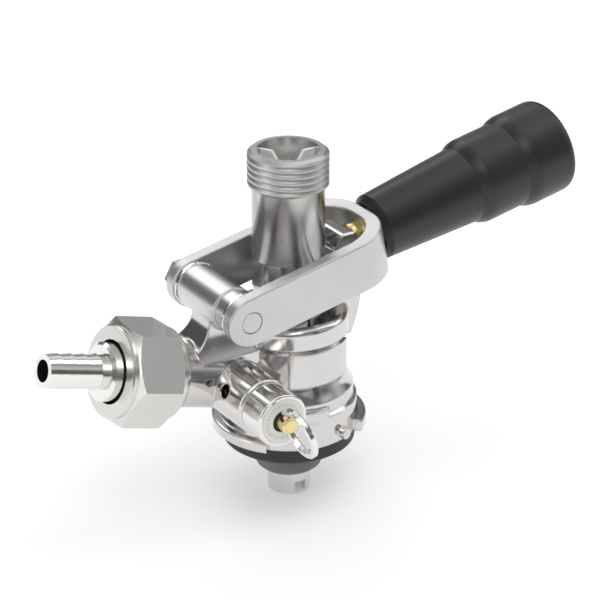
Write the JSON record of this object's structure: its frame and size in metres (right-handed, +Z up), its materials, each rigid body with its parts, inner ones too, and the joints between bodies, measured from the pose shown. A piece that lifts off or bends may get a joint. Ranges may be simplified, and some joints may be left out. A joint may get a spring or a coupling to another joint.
{
  "type": "keg coupler",
  "caption": "Lever-handled keg coupler with a bayonet base, threaded beer outlet, barbed gas inlet and a relief valve with a pull ring.",
  "frame": {"origin": "on the probe axis, at the lower edge of the metal base, where the base meets the keg neck", "axes": "+Z up along the probe towards the beer outlet, +X towards the handle, -X towards the gas inlet, Y along the hinge pin, -Y towards the relief valve"},
  "size_m": [0.1736, 0.0686, 0.1055],
  "materials": {
    "chrome_body": "polished chrome plate",
    "black_rubber": "moulded",
    "grey_rubber": "moulded",
    "fibre_washer": "pressed",
    "nickel_satin": "satin turned",
    "nickel_bright": "polished",
    "white_label": "printed matt",
    "brass": "turned",
    "spring_steel": "drawn wire",
    "lever_steel": "bead-blasted satin",
    "black_grip": "soft sheen",
    "pale_plastic": "moulded",
    "white_ball": "smooth"
  },
  "bodies": {
    "body": {"coupler_body": "chrome_body", "bottom_seal": "black_rubber", "gas_check_valve": "grey_rubber", "gas_washer": "fibre_washer", "gas_hose_nut": "nickel_satin", "hose_tailpiece": "nickel_bright", "relief_cap": "chrome_body", "relief_label": "white_label", "relief_spring": "spring_steel", "probe_o_ring": "black_rubber"},
    "lever": {"lever_yoke": "lever_steel", "hinge_pin": "lever_steel", "hinge_washer_rear": "nickel_bright", "hinge_washer_front": "nickel_bright", "guide_sleeve": "lever_steel", "spring_retainer": "brass", "pull_spring": "spring_steel"},
    "handle": {"latch_plunger": "brass", "pull_rod": "spring_steel", "grip_insert": "brass", "hand_grip": "black_grip"},
    "probe": {"probe_tube": "chrome_body", "probe_tip_seal": "grey_rubber", "ball_cage": "pale_plastic"},
    "ball": {"check_ball": "white_ball"},
    "relief": {"relief_stem": "brass", "relief_seat_disc": "black_rubber"},
    "ring": {"relief_pull_ring": "nickel_bright"}
  },
  "joints": [
    {"name": "lever_hinge", "type": "hinge", "parent": "body", "child": "lever", "pos_m": [-0.0227, 0, 0.0436], "axis": [0, -1, 0], "range_deg": [0, 24]},
    {"name": "probe_lift", "type": "slide", "parent": "body", "child": "probe", "axis": [0, 0, 1], "range_m": [0, 0.00979]},
    {"name": "handle_pull", "type": "slide", "parent": "lever", "child": "handle", "axis": [0.9803, 0, 0.1977], "range_m": [0, 0.004], "stiffness_N_per_m": 900, "springref_m": -0.006, "deforming": ["pull_spring"]},
    {"name": "ball_lift", "type": "slide", "parent": "probe", "child": "ball", "axis": [0, 0, 1], "range_m": [0, 0.003]},
    {"name": "relief_pull", "type": "slide", "parent": "body", "child": "relief", "axis": [0, -1, 0], "range_m": [0, 0.0025], "stiffness_N_per_m": 1500, "springref_m": -0.004, "deforming": ["relief_spring"]},
    {"name": "ring_swing", "type": "hinge", "parent": "relief", "child": "ring", "pos_m": [-0.022, -0.0336, 0.0196], "axis": [-0.2924, 0, 0.9563], "range_deg": [-60, 60]}
  ],
  "couplings": [
    {"joint": "probe_lift", "follows": "lever_hinge", "m_per_rad": 0.023324}
  ]
}
